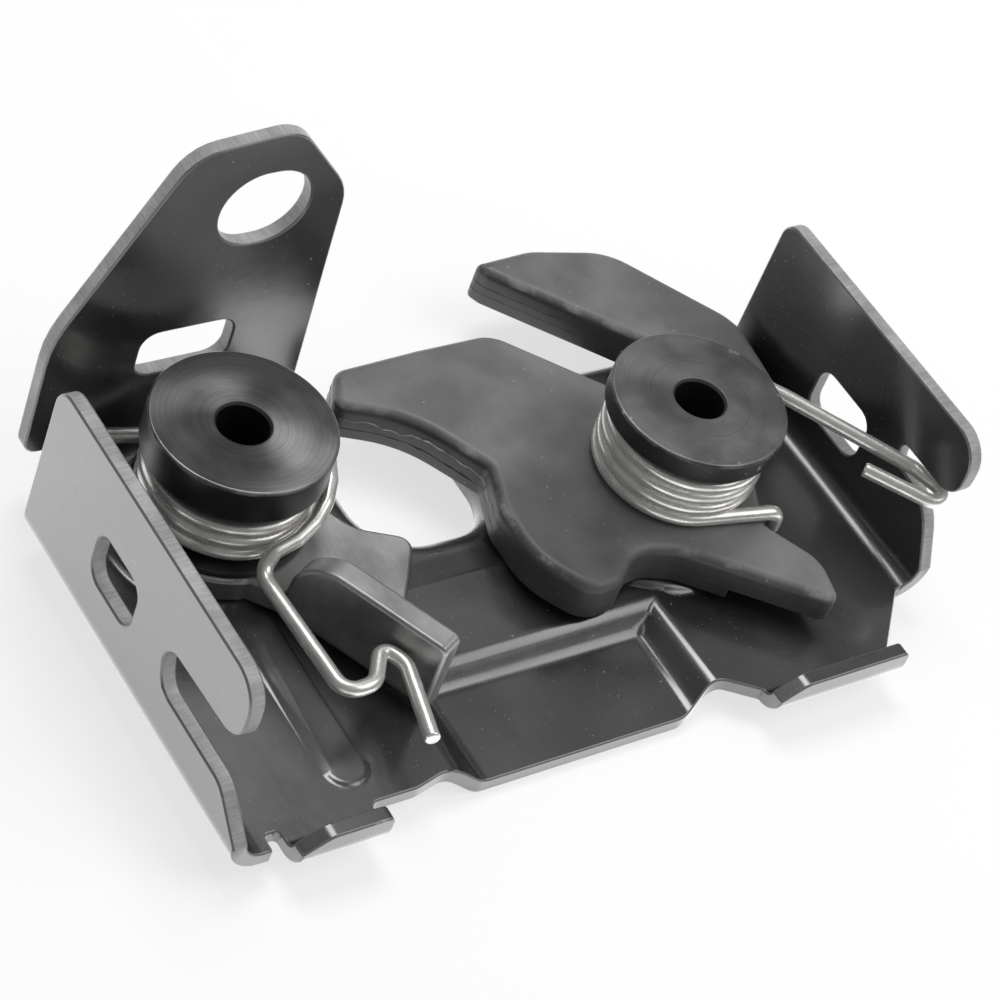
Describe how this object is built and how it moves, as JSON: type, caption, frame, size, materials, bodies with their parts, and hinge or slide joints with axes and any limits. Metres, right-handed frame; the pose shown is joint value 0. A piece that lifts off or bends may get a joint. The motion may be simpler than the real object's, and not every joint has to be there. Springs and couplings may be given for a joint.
{
  "type": "bonnet latch",
  "caption": "Folded steel bonnet latch plate with a turning claw, a sprung pawl, flanged pivot bushes, torsion springs and a slotted mounting ear.",
  "frame": {"origin": "claw pivot axis at the plane that the plate's pressed tray rests on", "axes": "+Z along the pivots, away from the plate's underside; +Y towards the side where the striker enters; +X from the pawl to the claw"},
  "size_m": [0.1237, 0.0844, 0.0606],
  "materials": {
    "plate_coat": "gloss",
    "pivot_coat": "satin",
    "claw_jacket": "satin",
    "pawl_steel": "satin",
    "spring_wire": "polished",
    "washer_black": "matte"
  },
  "bodies": {
    "frame": {"base_plate": "plate_coat", "claw_pivot": "pivot_coat", "pawl_pivot": "pivot_coat", "claw_spring": "spring_wire", "pawl_spring": "spring_wire", "pawl_washer": "washer_black"},
    "claw": {"claw": "claw_jacket"},
    "pawl": {"pawl": "pawl_steel"}
  },
  "joints": [
    {"name": "claw_turn", "type": "hinge", "parent": "frame", "child": "claw", "pos_m": [0, 0, 0], "axis": [0, 0, 1], "range_deg": [0, 48], "deforming": ["claw_spring"]},
    {"name": "pawl_turn", "type": "hinge", "parent": "frame", "child": "pawl", "pos_m": [-0.0664, 0.0145, 0], "axis": [0, 0, 1], "range_deg": [-29, 0], "deforming": ["pawl_spring"]}
  ],
  "couplings": [
    {"joint": "pawl_turn", "follows": "claw_turn", "ratio": -0.6}
  ]
}
